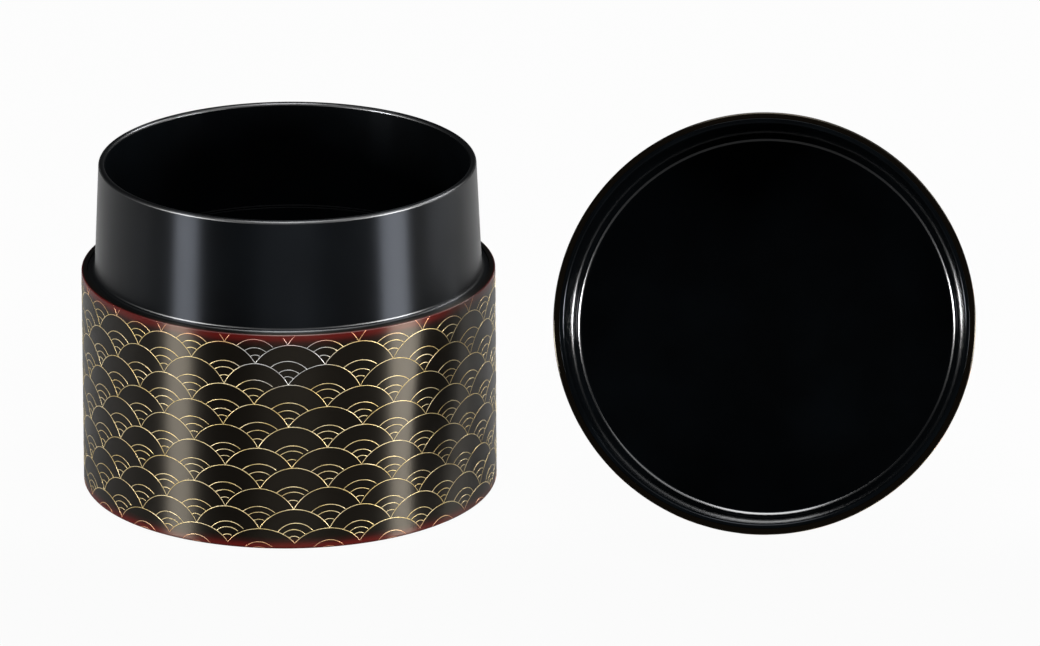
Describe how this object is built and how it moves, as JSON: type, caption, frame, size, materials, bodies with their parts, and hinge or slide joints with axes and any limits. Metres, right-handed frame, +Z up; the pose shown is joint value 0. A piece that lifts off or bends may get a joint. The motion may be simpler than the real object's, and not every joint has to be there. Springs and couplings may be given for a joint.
{
  "type": "lacquer tea caddy",
  "caption": "Round black lacquer tea caddy with gold wave pattern, red edge bands and a tapered neck; its deep slip-on lid stands open beside it.",
  "frame": {"origin": "middle of the footprint of the caddy and its lid together, on the surface that they stand on", "axes": "+X from the caddy to the lid, +Z up, and the lid's mouth faces -Y"},
  "size_m": [0.2364, 0.1276, 0.1134],
  "materials": {
    "decorated_lacquer": "gloss black lacquer with gold wave lines and red edge bands",
    "black_lacquer": "gloss black lacquer",
    "moulded_base": "satin black moulding"
  },
  "bodies": {
    "caddy": {"outer_shell": "decorated_lacquer", "inner_cup": "black_lacquer", "base_plate": "moulded_base"},
    "lid": {"lid_shell": "decorated_lacquer", "lid_liner": "black_lacquer"}
  },
  "joints": [
    {"name": "lid_lift", "type": "slide", "parent": "caddy", "child": "lid", "axis": [0, 0, 1], "range_m": [0, 0.11]}
  ]
}
